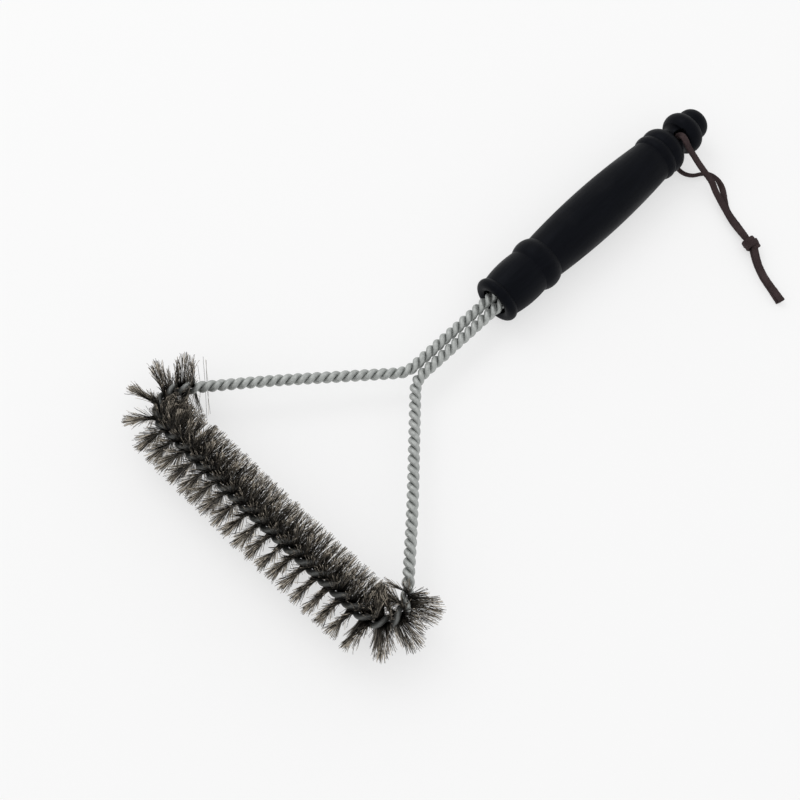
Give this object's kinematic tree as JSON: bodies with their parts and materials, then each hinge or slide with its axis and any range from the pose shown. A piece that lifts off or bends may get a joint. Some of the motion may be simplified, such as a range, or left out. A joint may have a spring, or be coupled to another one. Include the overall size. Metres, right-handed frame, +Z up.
{
  "type": "grill cleaning brush",
  "caption": "Three-sided grill brush: twisted wires bent into a triangle, steel bristles along its far side and corners, a turned wooden handle and a leather hanging lace.",
  "frame": {"origin": "on the table under the middle of the brush", "axes": "+X along the handle from the bristles to the knob, +Y across the bristled bar, +Z up from the table"},
  "size_m": [0.3165, 0.1795, 0.0332],
  "materials": {
    "black_wood": "satin black paint on turned hardwood",
    "zinc_wire": "satin zinc-plated steel wire",
    "bristle_steel": "dark drawn steel bristles",
    "adhesive": "cured epoxy",
    "leather": "dark brown suede lace"
  },
  "bodies": {
    "root": {"handle": "black_wood", "wire_adhesive": "adhesive", "wire_strand_a": "zinc_wire", "wire_strand_b": "zinc_wire", "bristle_row_01": "bristle_steel", "bristle_row_02": "bristle_steel", "bristle_row_03": "bristle_steel", "bristle_row_04": "bristle_steel", "bristle_row_05": "bristle_steel", "bristle_row_06": "bristle_steel", "bristle_row_07": "bristle_steel", "bristle_row_08": "bristle_steel", "bristle_row_09": "bristle_steel", "bristle_row_10": "bristle_steel", "bristle_row_11": "bristle_steel", "bristle_row_12": "bristle_steel", "bristle_row_13": "bristle_steel", "bristle_row_14": "bristle_steel", "bristle_row_15": "bristle_steel", "bristle_row_16": "bristle_steel", "bristle_row_17": "bristle_steel", "bristle_row_18": "bristle_steel", "bristle_row_19": "bristle_steel", "bristle_row_20": "bristle_steel", "bristle_row_21": "bristle_steel", "bristle_row_22": "bristle_steel", "bristle_row_23": "bristle_steel", "bristle_row_24": "bristle_steel", "bristle_row_25": "bristle_steel", "bristle_row_26": "bristle_steel", "lace_upper": "leather", "lace_lower": "leather", "lace_knot": "leather", "lace_tail_a": "leather", "lace_tail_b": "leather"}
  },
  "joints": []
}
